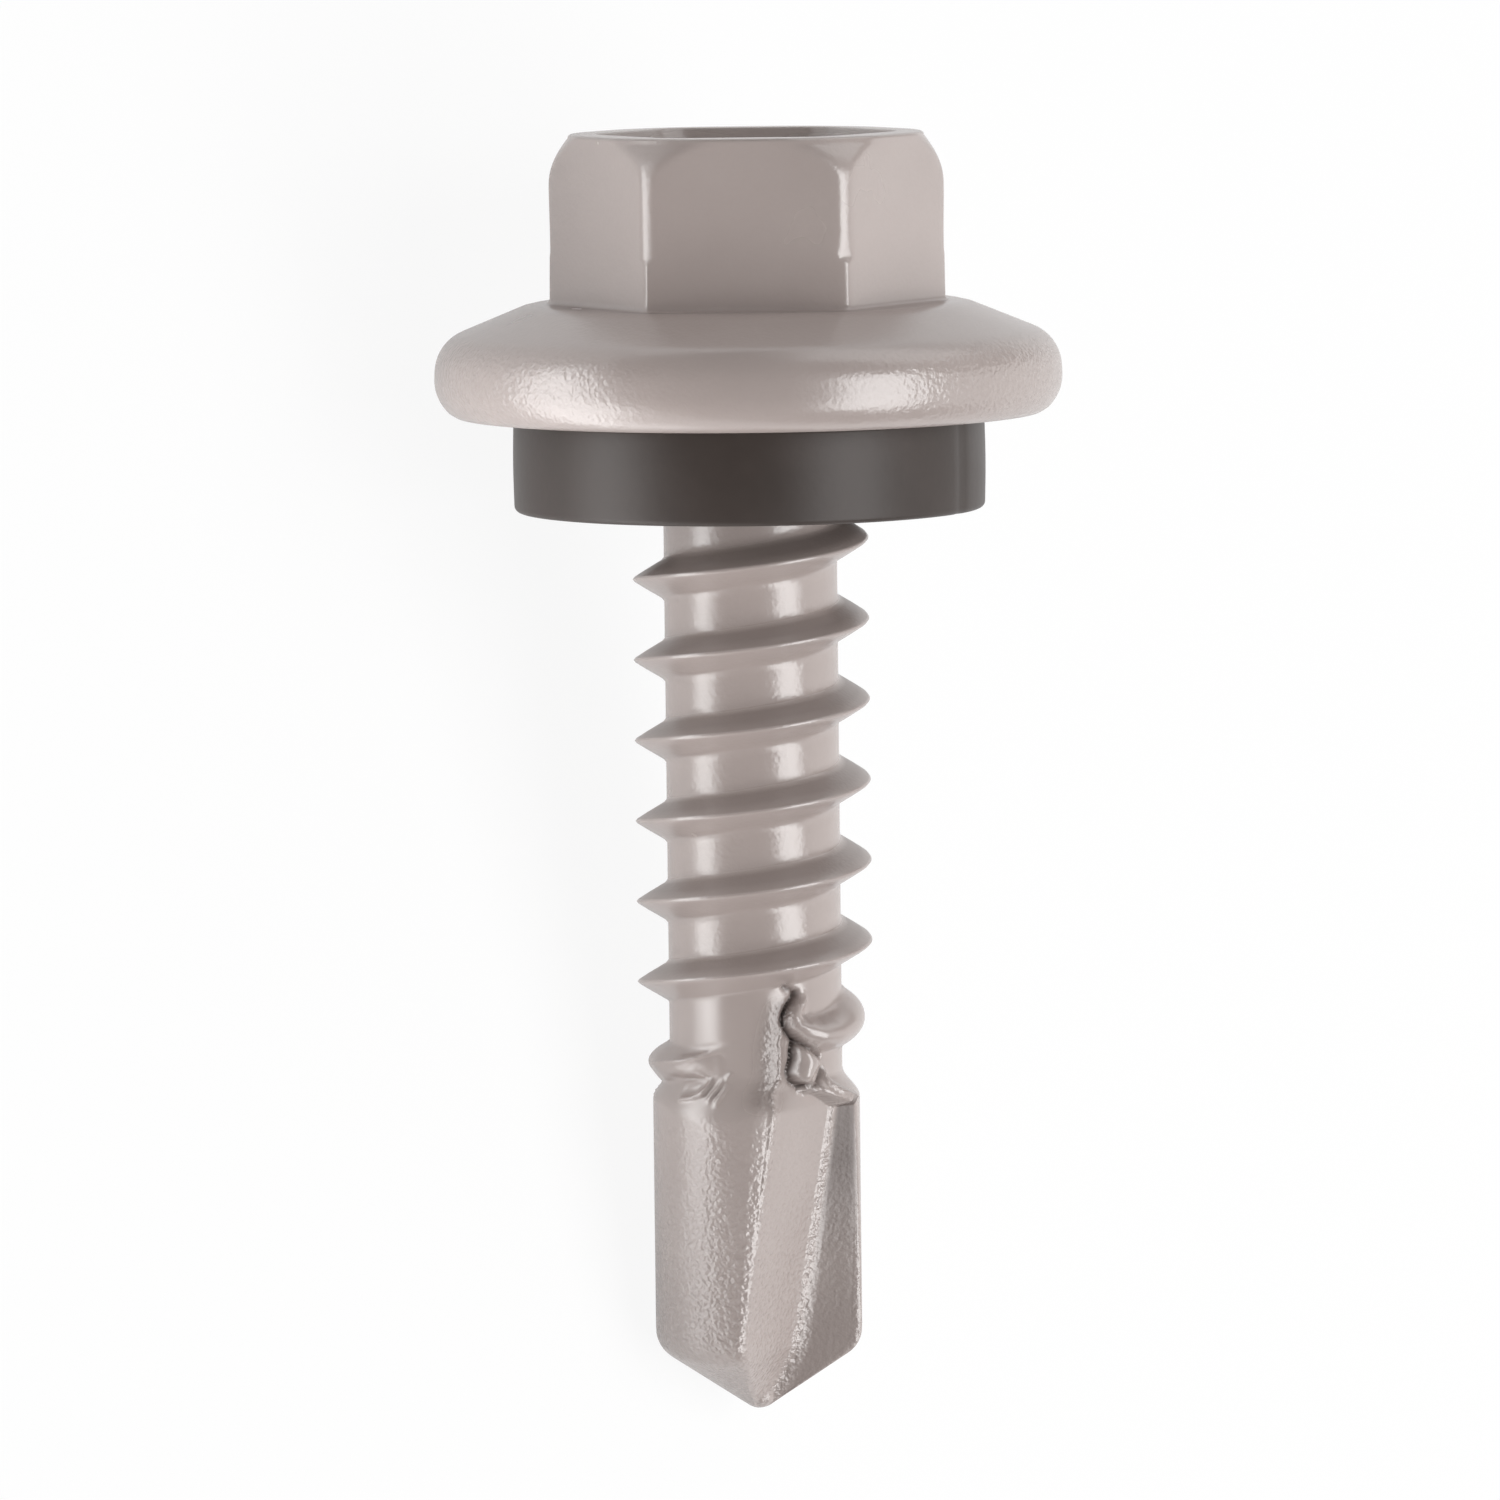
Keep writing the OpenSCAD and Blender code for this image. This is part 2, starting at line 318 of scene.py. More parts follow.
def make_rubber():
    material, t = new_material("black_rubber")
    place = t.node("ShaderNodeTexCoord", out="Object")
    skin = noise_field(t, place, 0.25, 3.0)
    dust = noise_field(t, place, 1.7, 4.0)
    bump = bump_of(t, (skin + dust) * RUBBER_DEPTH)
    colour = mixed(t, (dust * 1.2 - 0.2).clamp(), RUBBER, RUBBER_DUSTY)
    shader = t.node("ShaderNodeBsdfPrincipled", {}, {
        "Base Color": colour, "Roughness": 0.36 + dust * 0.14, "Normal": bump, "Specular IOR Level": 0.36})
    t.node("ShaderNodeOutputMaterial", {}, {"Surface": shader})
    return material

rubber = make_rubber()

# %% [markdown]
# The thread was rolled: dies press a ridge up along a helix. The mesh follows it. Its rows climb one pitch in
# each turn, so a row runs along the crest all the way round, and the crest stays crisp with few faces. Rows
# crowd at the crest and at the feet of the flanks, where the surface bends most. This is a rule with a
# handful of sizes, so Geometry Nodes make it: sums on the two numbers of a flat grid's points move each to
# its place on the helix.

# %% Rows and columns of the thread
COLUMNS = 264
COLUMN_STEP = 360 / COLUMNS
SEAM = 30 + 73 * COLUMN_STEP       # direction of the mesh's seam, on the side away from the front
ROWS_PER_TURN = 16
CREST_CROWDING, FOOT_CROWDING = 0.12, 0.6
CREST_AT_LEFT = -15.03             # height of the last turn's crest, seen at the left of the photo
LEFT = -90
CREST_AT_SEAM = CREST_AT_LEFT + PITCH * ((SEAM - LEFT) / 360 - 1)
FLANK_W = 0.47                     # half the thread's width at its foot
FLANK_TAN = math.tan(math.radians(30))
CREST_ROUND, ROOT_ROUND = 0.05, 0.03
FULL_FROM, FULL_TO = 16, 117       # grid rows with a full thread, counted from the last turn's crest
FADE_START, FADE_END = 7.45, 7.95  # turns over which the thread fades out, hidden under the washer
FLANK_PAINTED_SHADE = 0.38                  # how much painted shade darkens the flank that faces the head
FLANK_STARTS = (0.01, 0.05)        # where that flank starts, in turns above the crest
FLANK_ENDS = (0.20, 0.25)          # and where it ends

def crowded_turns(turns):
    """Row positions in turns, drawn towards the crest and towards the foot of either flank."""
    return (turns - CREST_CROWDING / (2 * math.pi) * np.sin(2 * math.pi * turns)
            - FOOT_CROWDING / (8 * math.pi) * np.sin(8 * math.pi * turns))

def thread_tree():
    group = bpy.data.node_groups.new("rolled_thread", "GeometryNodeTree")
    face = group.interface
    sizes = {"Pitch": PITCH, "Core radius": CORE_R, "Flank width": FLANK_W, "Flank tangent": FLANK_TAN,
             "Crest rounding": CREST_ROUND, "Root rounding": ROOT_ROUND,
             "First turn": FULL_FROM / ROWS_PER_TURN, "Last turn": FULL_TO / ROWS_PER_TURN,
             "Seam height": CREST_AT_SEAM, "Seam direction": SEAM,
             "Crest crowding": CREST_CROWDING, "Foot crowding": FOOT_CROWDING,
             "Fade start": FADE_START, "Fade end": FADE_END}
    for name, value in sizes.items():
        face.new_socket(name, in_out="INPUT", socket_type="NodeSocketFloat").default_value = value
    face.new_socket("Geometry", in_out="OUTPUT", socket_type="NodeSocketGeometry")
    t = Tree(group)
    start = group.nodes.new("NodeGroupInput")
    size = {s.name: Socket(t, s) for s in start.outputs if s.name}
    grid = t.node("GeometryNodeMeshGrid", {}, {"Size X": 1.0, "Size Y": 1.0, "Vertices X": COLUMNS + 1,
                                               "Vertices Y": FULL_TO - FULL_FROM + 1})
    split = t.node("ShaderNodeSeparateXYZ", {}, {0: t.node("GeometryNodeInputPosition")}).out.node
    round_share, climb_share = (Socket(t, split.outputs[k]) + 0.5 for k in (0, 1))
    turns = size["First turn"] + climb_share * (size["Last turn"] - size["First turn"])
    crowded = (turns - size["Crest crowding"] / (2 * math.pi) * (turns * (2 * math.pi)).math("SINE")
               - size["Foot crowding"] / (8 * math.pi) * (turns * (8 * math.pi)).math("SINE"))
    off_crest = (crowded - crowded.math("ROUND")).math("ABSOLUTE") * size["Pitch"]
    blunt = (off_crest * off_crest + size["Crest rounding"] * size["Crest rounding"]).math("SQRT")
    sharp = (size["Flank width"] - blunt) / size["Flank tangent"]
    ridge = (sharp + (sharp * sharp + size["Root rounding"] * size["Root rounding"]).math("SQRT")) * 0.5
    along = crowded.math("ROUND") + round_share
    fade = 1 - ((along - size["Fade start"]) / (size["Fade end"] - size["Fade start"])).clamp()
    radius = size["Core radius"] + ridge * fade
    angle = (size["Seam direction"] + round_share * 360) * (math.pi / 180)
    height = size["Seam height"] + size["Pitch"] * (crowded + round_share)
    place = t.node("ShaderNodeCombineXYZ", {}, {0: radius * angle.math("SINE"),
                                                1: 0 - radius * angle.math("COSINE"), 2: height})
    moved = t.node("GeometryNodeSetPosition", {}, {"Geometry": grid, "Position": place})
    real = t.node("GeometryNodeRealizeInstances", {}, {0: moved})
    painted = t.node("GeometryNodeSetMaterial", {}, {"Geometry": real, "Material": paint})
    t.node("NodeGroupOutput", {}, {0: painted})
    return group, sizes

def flank_painted_shade(turns):
    """Painted shade on rows of the thread: it darkens the flank that faces the head."""
    above = crowded_turns(turns) % 1
    return FLANK_PAINTED_SHADE * ease(above, *FLANK_STARTS) * (1 - ease(above, *FLANK_ENDS))

def new_object(name, data):
    made = bpy.data.objects.new(name, data)
    bpy.context.scene.collection.objects.link(made)
    return made

def mesh_from_tree(group, sizes, name):
    """Runs a tree with these inputs, and gives the result as a plain mesh."""
    carrier = new_object(name, bpy.data.meshes.new(name))
    modifier = carrier.modifiers.new("nodes", "NODES")
    modifier.node_group = group
    for item in group.interface.items_tree:
        if item.in_out == "INPUT" and item.name in sizes:
            modifier[item.identifier] = float(sizes[item.name])
    evaluated = carrier.evaluated_get(bpy.context.evaluated_depsgraph_get())
    mesh = bpy.data.meshes.new_from_object(evaluated)
    bpy.data.objects.remove(carrier)
    return mesh

thread_mesh = mesh_from_tree(*thread_tree(), "rolled_thread")
thread_points = np.zeros(len(thread_mesh.vertices) * 3)
thread_mesh.vertices.foreach_get("co", thread_points)
thread_points = thread_points.reshape(-1, 3)
thread_r, thread_z = np.hypot(thread_points[:, 0], thread_points[:, 1]), thread_points[:, 2]
print("thread:", len(thread_points), "points, crest radius", round(float(thread_r.max()), 3),
      "heights", round(float(thread_z.min()), 2), "to", round(float(thread_z.max()), 2))

# %% [markdown]
# Other patches are grids too. `Skin` collects patches and later welds them into one closed surface. Where a
# patch of climbing rows meets one of level rings, their columns hold unlike numbers of points, and `stitch`
# fills the strip between two such columns by always stepping up the side whose next point is lower.

# %% Collecting patches
def quads(*corners):
    """Faces with four corners, from four arrays of point numbers."""
    return np.stack(corners, -1).reshape(-1, 4).tolist()

class Skin:
    """Points, faces and point values of a surface made of patches."""
    def __init__(self):
        self.points, self.faces, self.values, self.count = [], [], [], 0

    def add_points(self, points, grit=0.0, painted_shade=0.0):
        points = np.asarray(points, float).reshape(-1, 3)
        self.points.append(points)
        self.values.append(np.stack([np.broadcast_to(v, len(points)) for v in (grit, painted_shade)], -1))
        self.count += len(points)
        return np.arange(self.count - len(points), self.count)

    def grid(self, points, grit=0.0, painted_shade=0.0, closed=True):
        """A patch whose points come as rows by columns. A closed one joins its last column to its first."""
        rows, columns = points.shape[:2]
        at = self.add_points(points, np.ravel(grit), np.ravel(painted_shade)).reshape(rows, columns)
        if closed:
            at = np.concatenate([at, at[:, :1]], 1)
        self.faces += quads(at[:-1, :-1], at[:-1, 1:], at[1:, 1:], at[1:, :-1])
        return at

    def stitch(self, left, right):
        """Faces between two columns of points, each from the bottom up."""
        heights = np.concatenate(self.points)[:, 2]
        i = j = 0
        while i < len(left) - 1 or j < len(right) - 1:
            left_ends, right_ends = i == len(left) - 1, j == len(right) - 1
            if right_ends or (not left_ends and heights[left[i + 1]] <= heights[right[j + 1]]):
                self.faces.append([left[i], right[j], left[i + 1]])
                i += 1
            else:
                self.faces.append([left[i], right[j], right[j + 1]])
                j += 1

    def fan(self, ring, point):
        centre = int(self.add_points([point])[0])
        self.faces += [[a, b, centre] for a, b in zip(ring[:-1].tolist(), ring[1:].tolist())]

column_az = SEAM + COLUMN_STEP * np.arange(COLUMNS + 1)
print("columns:", COLUMNS, "seam at", round(SEAM % 360, 1), "degrees")

# %% [markdown]
# Where the thread ends above the drill, the rolling dies ran over metal that had already been pinched, so it
# tore and folded. Each fold is a short path of points (direction, height, how proud it stands, half its
# width), and the surface rises where it is near a path. Thick folds have a round back and a clear foot, and
# thin ones are wrinkles and lips. Dents sink in, and cracks are grooves along the folds' feet, darkened with
# painted shade.

# %% Folds at the end of the thread
HOOK = [(110, -13.97, 0.45, 0.58), (96, -13.98, 0.54, 0.66), (84, -14.04, 0.55, 0.66),
        (70, -14.12, 0.56, 0.58), (54, -14.22, 0.56, 0.47), (42, -14.22, 0.52, 0.41),
        (33, -14.12, 0.44, 0.34), (27, -13.98, 0.36, 0.27), (25, -13.78, 0.30, 0.22),
        (28, -13.58, 0.22, 0.17), (33, -13.42, 0.12, 0.12)]
FLAP = [(34, -14.62, 0.22, 0.26), (36, -14.90, 0.27, 0.32), (33, -15.12, 0.27, 0.28)]
STUB = [(-165, -15.40, 0.10, 0.30), (-140, -15.30, 0.30, 0.42), (-112, -15.14, 0.46, 0.46),
        (-90, -15.02, 0.50, 0.48), (-72, -14.99, 0.42, 0.44), (-56, -14.95, 0.30, 0.38),
        (-42, -14.92, 0.17, 0.32), (-28, -14.90, 0.05, 0.26)]
RUBBLE = [(31, -13.45, 0.10, 0.10), (34, -13.70, 0.12, 0.10), (35, -13.95, 0.10, 0.09)]
LIP = [(51, -15.10, 0.12, 0.08), (53, -15.40, 0.18, 0.09), (60, -15.60, 0.20, 0.09), (68, -15.74, 0.18, 0.09),
       (80, -15.86, 0.10, 0.09)]
LAST_LINE = [(-75, -15.00, 0.12, 0.12), (-47, -14.80, 0.15, 0.09), (-37, -14.69, 0.13, 0.08),
             (-28, -14.58, 0.10, 0.08), (-17, -14.46, 0.07, 0.07), (-11, -14.40, 0.05, 0.07),
             (-2, -14.17, 0.04, 0.07)]
WRINKLES = [
    [(-60, -15.05, 0.05, 0.06), (-49, -15.08, 0.09, 0.06), (-41, -15.10, 0.09, 0.06),
     (-33, -15.21, 0.06, 0.05)],
    [(-50, -15.73, 0.10, 0.06), (-41, -15.65, 0.13, 0.06), (-35, -15.54, 0.15, 0.07),
     (-32, -15.40, 0.13, 0.07), (-31, -15.25, 0.06, 0.06)],
    [(-30, -15.68, 0.07, 0.05), (-27, -15.52, 0.11, 0.055), (-23, -15.30, 0.07, 0.05)],
    [(-25, -15.76, 0.06, 0.05), (-22, -15.58, 0.10, 0.05), (-19, -15.38, 0.06, 0.05)],
    [(-20, -15.22, 0.06, 0.05), (-17, -15.12, 0.05, 0.05)],
]
DENTS = [
    [(-56, -14.60, 0.05, 0.07), (-34, -14.54, 0.07, 0.06), (-18, -14.42, 0.03, 0.06)],
    [(-64, -15.27, 0.07, 0.06), (-45, -15.27, 0.07, 0.06), (-34, -15.30, 0.05, 0.05)],
    [(-50, -15.54, 0.07, 0.08), (-40, -15.52, 0.07, 0.07)],
]
CRACK = [(19, -13.10), (29, -13.26), (22, -13.58), (18.5, -13.85), (21, -14.10), (28, -14.36), (26, -14.58),
         (26, -14.78), (22.5, -15.10), (25, -15.30), (32, -15.40), (43, -15.42)]
SIDE_CRACKS = [[(28, -14.36), (38, -14.62), (46, -14.76)], [(43, -15.42), (47, -15.25), (49, -15.10)]]
CRACK_W, CRACK_DEPTH = 0.055, 0.14
FRONT_BURRS = [RUBBLE, LIP, LAST_LINE, *WRINKLES]
BACK_BURRS = [LIP, *WRINKLES]

def surface_mm(az, z):
    """Places on the unrolled shank, in millimetres."""
    return np.stack([np.radians(az) * CORE_R, z], -1)

def to_path(az, z, path):
    """Distance to a path on the unrolled shank, and the path's other values at its nearest point."""
    p = surface_mm(az, z)
    best = np.full(p.shape[:-1], 1e9)
    values = np.zeros(p.shape[:-1] + (len(path[0]) - 2,))
    for a, b in zip(path[:-1], path[1:]):
        pa, pb = surface_mm(a[0], a[1]), surface_mm(b[0], b[1])
        t = np.clip(((p - pa) @ (pb - pa)) / ((pb - pa) @ (pb - pa)), 0, 1)
        d = np.linalg.norm(p - (pa + t[..., None] * (pb - pa)), axis=-1)
        near = d < best
        best = np.where(near, d, best)
        values[near] = np.asarray(a[2:]) + t[near][:, None] * (np.asarray(b[2:]) - np.asarray(a[2:]))
    return best, values

def turned(az):
    """Directions from -180 to 180."""
    return (np.asarray(az) + 180) % 360 - 180

def merged(a, b, k=0.02):
    """The soft maximum of two heights, which stays 0 where both are 0."""
    return soft_max(a, b, k) - k / 2

def burr_field(az, z, burrs):
    """How far the folds stand out of the surface."""
    total = np.zeros(np.shape(az))
    for path in burrs:
        d, v = to_path(turned(az), z, path)
        total = merged(total, v[..., 0] * hump(d, v[..., 1]))
    return total

def crack_field(az, z):
    """How deep in a crack a point is: 1 on its line, 0 away from it."""
    d = np.minimum.reduce([to_path(turned(az), z, path)[0] for path in (CRACK, *SIDE_CRACKS)])
    return hump(d, CRACK_W)

def blunt_ridge(az, z, path):
    """A swollen ridge with a round back and a clear foot."""
    d, v = to_path(turned(az), z, path)
    return v[..., 0] * soft_max(1 - (d / v[..., 1]) ** 2, 0, 0.05) * ease(d, 1.6 * v[..., 1], v[..., 1])

print("folds:", len(FRONT_BURRS), "paths on the front,", len(BACK_BURRS), "on the back")

# %% [markdown]
# One function gives the radius of the lower screw in any direction and at any height: the core or the drill,
# plus the last turn of thread, less the flutes, plus the folds. It is used for all points from the last full
# turn down to the point, so the thread's end, the shoulder and the flutes run into each other as in metal. A
# pair of heights below says where something starts to show and where it is there in full.

# %% The radius of the lower screw
LAST_TURN = [(0.0, 0.0), (0.85, 0.0), (0.90, 0.25), (0.95, 0.65), (1.0, 1.0)]  # turns, share of the height
SHOULDER_TOP, SHOULDER_END = -15.20, -15.88
LAND_AZ, LAND_W = -22, 34     # direction of a land's middle, and half its width
LAND_EXTRA = (0.15, 0.45)     # how much further up and down the shoulder runs on a land
EDGE_SOFT = 0.14              # softness of a flute's edges
FIRST_SOFT, FIRST_W = 0.08, 16    # what its first edge has more, and over how many degrees
PAST_EDGE = (0.3, 0.6)        # the softness ends where the wall lies this far out of the surface
VALLEY_ROUND = (0.26, 0.13)   # softness of a flute's bottom, at the corner and at the shoulder
VALLEY_Z = (-22.6, SHOULDER_Z)
VALLEY_W = (0.17, 0.09)       # half the width of the rough strip along the bottom, at those heights
BEAD, BEAD_W = 0.03, 3.0      # height of the bead along a first edge, and half its width in degrees
BEAD_FROM = (CORNER_Z + 0.4, CORNER_Z + 1.0)
NECK_FROM, NECK_W = (-16.1, -15.7), 9    # the rough strip along the flat's edge, darkened with painted shade
FLAT_TOP = (-13.2, -13.6)
FOLDS_FROM = (-16.2, -15.7)
RAKE_PAINTED_SHADE_Z = (-19.6, -17.3)  # heights between which the painted shade on a flute's right wall grows
RAKE_PAINTED_SHADE, NECK_PAINTED_SHADE = (0.27, 0.88), 0.42    # how dark the painted shade is there, and on the rough strip
GRIT = {"bead": 1.1, "neck": 0.7, "valley": 1.2, "rake": 0.2, "folds": 0.9}
FAR = 3.3                     # a radius beyond drill and shank

def turned_radius(z, az=90.0):
    """Radius of core and drill. On the two lands the shoulder is longer and softer than at the flutes."""
    on_land = hump(turned(2 * (np.asarray(az) - LAND_AZ)) / 2, LAND_W)
    top, end = SHOULDER_TOP + LAND_EXTRA[0] * on_land, SHOULDER_END - LAND_EXTRA[1] * on_land
    return CORE_R + (DRILL_R - CORE_R) * ease(z, top, end)

def thread_height(az_from_seam, z):
    """Height of the thread's last turns over the shank."""
    turns = (z - CREST_AT_SEAM) / PITCH - az_from_seam / 360
    crest = np.maximum(np.round(turns), 0)
    blunt = np.sqrt(((turns - crest) * PITCH) ** 2 + CREST_ROUND ** 2)
    sharp = (FLANK_W - blunt) / FLANK_TAN
    ridge = 0.5 * (sharp + np.sqrt(sharp ** 2 + ROOT_ROUND ** 2))
    share = np.interp(crest + az_from_seam / 360, *zip(*LAST_TURN))
    full = FLANK_W / FLANK_TAN
    return np.maximum(ridge - full * (1 - share), 0) * np.where(share > 0, 1, 0)

def flute_radius(az, z):
    """Radius left by one flute, whose facing is as on the front."""
    left, left_d, right, right_d = flute_walls(z)
    from_left = wall_radius(az, left, left_d)
    soft = np.interp(z, [CORNER_Z, SHOULDER_Z], VALLEY_ROUND)
    groove = np.minimum(soft_max(from_left, wall_radius(az, right, right_d), soft), FAR)
    upwards = CRACK[-2::-1]
    side_of_crack = np.interp(z, [p[1] for p in upwards], [p[0] for p in upwards])
    flat = np.where(turned(az) < side_of_crack, np.minimum(from_left, FAR), FAR)
    step_z = np.interp(turned(az), STEP_AZ, STEP_Z)
    return groove + (flat - groove) * ease(z, step_z - 0.10, step_z + 0.06)

def lower_radius(az, az_from_seam, z, r_turned):
    """The radius, how gritty the surface is there, and how much painted shade darkens it."""
    r = r_turned + merged(thread_height(az_from_seam, z), blunt_ridge(az, z, HOOK)) + blunt_ridge(az, z, STUB)
    painted_shade, grit, on_rake = np.zeros((3,) + np.shape(r))
    folded = ease(z, *FOLDS_FROM)
    first, bottom, last = land_edges(z, np.maximum(r_turned, 0.3))
    for turn in (0, 180):
        front, a = turn == 0, turned(az - turn)
        cut = flute_radius(a, z)
        rounded = soft_min(r, cut, EDGE_SOFT + FIRST_SOFT * hump(turned(a - first), FIRST_W))
        r = rounded + (r - rounded) * ease(cut - r, *PAST_EDGE)
        burr = burr_field(a, z, FRONT_BURRS if front else BACK_BURRS) * folded
        r = r + burr + (blunt_ridge(a, z, FLAP) - burr_field(a, z, DENTS)) * folded * front
        # Cracks are cut into the surface, and their lines get painted shade.
        in_crack = crack_field(a, z) * folded * front
        r = r - CRACK_DEPTH * in_crack
        bead = hump(turned(a - first - 2), BEAD_W) * ease(z, *BEAD_FROM) * ease(z, *FLAT_TOP)
        r = r + BEAD * bead * (1 - 0.8 * ease(z, -15.9, -15.0))
        # The rough strip along the flat's edge: gritty, and darkened with painted shade.
        neck = hump(turned(a - first + 5), NECK_W) * ease(z, *NECK_FROM) * ease(z, *FLAT_TOP)
        off_bottom = np.radians(turned(a - bottom)) * r
        valley = hump(off_bottom, np.interp(z, VALLEY_Z, VALLEY_W)) * ease(z, -15.7, -16.0)
        across = turned(a - bottom) / (last - bottom)
        rake = ease(across, 0.1, 0.35) * ease(1 - across, -0.1, 0.1) * ease(z, -15.6, -16.0)
        rough = {"bead": bead, "neck": neck, "valley": valley, "rake": rake, "folds": (burr * 5).clip(0, 1)}
        grit = np.maximum.reduce([grit] + [GRIT[name] * field for name, field in rough.items()])
        # Painted shade on a flute's right wall, darker towards the shoulder.
        rake_painted_shade = rake * np.interp(z, RAKE_PAINTED_SHADE_Z, RAKE_PAINTED_SHADE)
        # The painted shade here is the most of the cracks, a flute's right wall and the rough strip.
        painted_shade = np.maximum.reduce([painted_shade, in_crack, rake_painted_shade, NECK_PAINTED_SHADE * neck])
        on_rake = np.maximum(on_rake, rake)
    land_grit = 0.4 * ease(z, -15.9, -16.6) + 0.6 * ease(z, -16.5, -20.5)
    return r, np.maximum(grit, land_grit * (1 - 0.9 * on_rake)), painted_shade

# %% [markdown]
# Straight columns would cut across the edges of the flutes and leave them ragged. So from the shoulder down
# the columns lean over, until each flute has one on either edge and one along its bottom.

# %% Columns that follow the flutes
COLUMN_EDGES = (5.0, 45.0, 80.0)       # columns given to a flute's first edge, bottom and last edge
LEAN_FROM, LEAN_TO = -13.95, -15.9

def column_directions(z, r):
    """Directions of all columns at heights, one row for each height given."""
    z, r = np.broadcast_arrays(np.asarray(z, float), np.asarray(r, float))
    first, bottom, last = land_edges(z, r)
    share = ease(z, LEAN_FROM, LEAN_TO)
    known = np.array([e + k * 180 for k in range(-1, 5) for e in COLUMN_EDGES])
    found = np.stack([e + k * 180 for k in range(-1, 5) for e in (first, bottom, last)], -1)
    leaning = np.stack([np.interp(column_az, known, f) for f in found.reshape(-1, len(known))])
    leaning = leaning.reshape(z.shape + (len(column_az),))
    return column_az + (leaning - column_az) * share[..., None]

def helix_columns(turns):
    """Directions and heights of rows that climb one pitch in a turn."""
    base = CREST_AT_SEAM + PITCH * crowded_turns(turns)[:, None]
    az = np.broadcast_to(column_az, (len(turns), len(column_az)))
    for _ in range(3):
        z = base + PITCH * (az - SEAM) / 360
        az = np.stack([np.diag(column_directions(heights, turned_radius(heights))) for heights in z])
    return az, base + PITCH * (az - SEAM) / 360

skin = Skin()
FINE_ROWS = 2 * ROWS_PER_TURN       # rows in a turn where the thread ends
FIRST_TURN = -1.1
turns = np.arange(round(FIRST_TURN * FINE_ROWS), FULL_FROM * FINE_ROWS // ROWS_PER_TURN + 1) / FINE_ROWS
az, z = helix_columns(turns)
r, grit, painted_shade = lower_radius(az, az - SEAM, z, turned_radius(z, az))
r[-1] = CORE_R + thread_height(az[-1] - SEAM, z[-1])
# The flank that faces the head gets painted shade here too.
painted_shade = np.maximum(painted_shade, flank_painted_shade(turns)[:, None] * ease(thread_height(az - SEAM, z), 0, 0.1))
end_rows = skin.grid(round_points(r, az, z)[:, :-1], grit[:, :-1], painted_shade[:, :-1], closed=False)
print("end of the thread:", az.shape, "radius", round(float(r.min()), 2), "to", round(float(r.max()), 2))

# %% [markdown]
# The drill and its point are made of level rings that follow the turned outline: straight down to the corner,
# round it, and along the cone to a small round tip. Between the rings and the climbing rows above them, and
# again between the thread and the head, level rows fill the wedge that is left.

# %% Drill point
CORNER_ROUND, TIP_ROUND = 0.72, 0.48
TIP_GAP = 0.006        # how far the rounded tip stops short of the sharp one
TIP_Z = (-22.7, -23.1) # heights over which a flute runs out at the tip
LEAST_R = 0.35         # share of the outline that a flute always leaves
LEAST_MORE = 0.5       # and what the tip has more
RINGS_FROM = -17.9
LEVEL_STEP = 0.095

half = math.radians(POINT_ANGLE / 2)
corner_start = CORNER_Z + CORNER_ROUND * math.tan(half / 2)
outline = [(DRILL_R, z) for z in np.arange(RINGS_FROM, corner_start, -LEVEL_STEP)]
outline += arc_rows((DRILL_R - CORNER_ROUND, corner_start), CORNER_ROUND, 0, -POINT_ANGLE / 2, 6)
tip_z = TIP_ROUND - SCREW_L + TIP_GAP
cone_end = (TIP_ROUND * math.cos(half), tip_z - TIP_ROUND * math.sin(half))
outline += line_rows(outline[-1], cone_end, np.linspace(0, 1, 15)[1:])
outline += arc_rows((0, tip_z), TIP_ROUND, -POINT_ANGLE / 2, -84, 4)
ring_r, ring_z = np.array(outline).T

ring_az = column_directions(ring_z, np.maximum(ring_r, 0.2))[:, :-1]
zz = ring_z[:, None] + 0 * ring_az
rr, ring_grit, ring_painted_shade = lower_radius(ring_az, ring_az - SEAM, zz, ring_r[:, None] + 0 * ring_az)
rr = np.maximum(rr, (LEAST_R + LEAST_MORE * ease(zz, *TIP_Z)) * ring_r[:, None])
drill = skin.grid(round_points(rr, ring_az, zz), ring_grit, ring_painted_shade)
skin.fan(drill[-1], (0, 0, tip_z - TIP_ROUND))
print("rings of the drill:", len(ring_z), "tip at", round(float(tip_z - TIP_ROUND), 3))

# %% [markdown]
# The climbing rows start one pitch higher on one side of the seam than on the other. So the column at the
# seam is longer than the rest: it also holds the ends of the rows that arrive there from a full turn away.
# Rows lie half as far apart where the thread ends, so a strip of triangles joins them to the thread above.

# %% Joining rings, thread end and thread
THREAD_GRIT, SHANK_GRIT = 0.12, 0.1
SHANK_TOP = -0.12      # where the shank meets the head, hidden in the washer
PLAIN_FROM = -12.9     # above this height the level rows lie on the plain core
thread_grid = thread_points.reshape(COLUMNS + 1, FULL_TO - FULL_FROM + 1, 3).transpose(1, 0, 2)
# Painted shade on the flank that faces the head.
thread_painted_shade = flank_painted_shade(np.arange(FULL_FROM, FULL_TO + 1) / ROWS_PER_TURN)
thread_rows = skin.grid(thread_grid, THREAD_GRIT, np.repeat(thread_painted_shade, COLUMNS + 1), closed=False)
skin.stitch(end_rows[:, -1], np.concatenate([end_rows[FINE_ROWS:, 0], thread_rows[1:ROWS_PER_TURN + 1, 0]]))

shank_top = skin.add_points(round_points(CORE_R, column_az[:-1], SHANK_TOP), SHANK_GRIT)
known_heights = np.concatenate(skin.points)[:, 2]

def level_points(j, first_at, last_at):
    """Numbers of a column's points between two known ones, with level rows where there is room."""
    low, high = known_heights[[first_at, last_at]]
    heights = np.linspace(low, high, max(round((high - low) / LEVEL_STEP), 1) + 1)[1:-1]
    return [first_at, *(fill_column(j, heights) if len(heights) else []), last_at]

